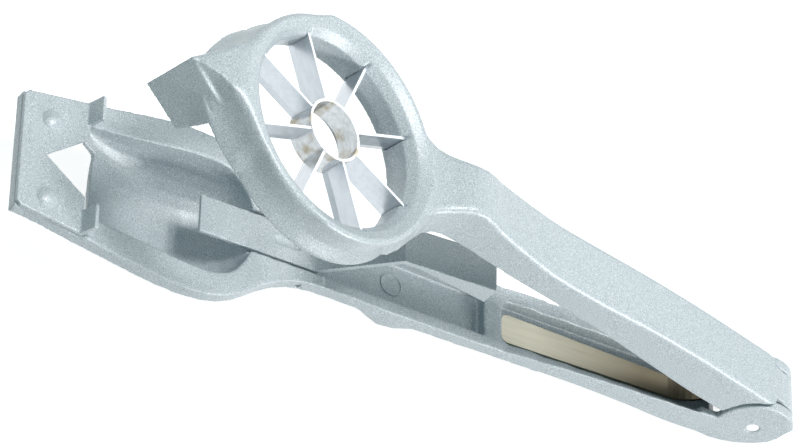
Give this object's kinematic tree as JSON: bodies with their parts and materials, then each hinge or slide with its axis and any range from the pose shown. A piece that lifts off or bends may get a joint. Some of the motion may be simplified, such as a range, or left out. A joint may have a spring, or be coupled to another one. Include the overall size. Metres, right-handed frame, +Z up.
{
  "type": "radish rose cutter",
  "caption": "Hinged hand tool that presses a radish from a bowl through a ring of radial blades and notches it with a wedge.",
  "frame": {"origin": "on the surface the tool lies on, at the middle of the flat under the bowl", "axes": "+X along the tool from the bowl towards the hinge, +Y away from the side seen in the picture, +Z up"},
  "size_m": [0.1853, 0.052, 0.062],
  "materials": {
    "sparkle_coat": "silver-grey sparkle powder coat, satin",
    "blade_steel": "bright stamped stainless strip",
    "pin_steel": "bright cut pin",
    "spring_steel": "warm rolled spring strip"
  },
  "bodies": {
    "lower": {"lower_arm": "sparkle_coat", "notch_plate": "sparkle_coat", "plate_rivets": "sparkle_coat", "lifter_pin": "pin_steel", "hinge_pin": "pin_steel", "leaf_spring": "spring_steel"},
    "upper": {"upper_arm": "sparkle_coat", "centre_blade": "blade_steel", "blade_1": "blade_steel", "blade_2": "blade_steel", "blade_3": "blade_steel", "blade_4": "blade_steel", "blade_5": "blade_steel", "blade_6": "blade_steel", "blade_7": "blade_steel", "blade_8": "blade_steel"},
    "lifter": {"lifter": "sparkle_coat"}
  },
  "joints": [
    {"name": "arm_hinge", "type": "hinge", "parent": "lower", "child": "upper", "pos_m": [0.13849, 0, 0.00775], "axis": [0, 1, 0], "range_deg": [-13.5, 0], "stiffness_Nm_per_rad": 0.8, "springref_deg": 34.38, "deforming": ["leaf_spring"]},
    {"name": "lifter_pivot", "type": "hinge", "parent": "lower", "child": "lifter", "pos_m": [0.02744, 0, 0.01011], "axis": [0, 1, 0], "range_deg": [0, 6.1]}
  ],
  "couplings": [
    {"joint": "lifter_pivot", "follows": "arm_hinge", "ratio": -0.45}
  ]
}
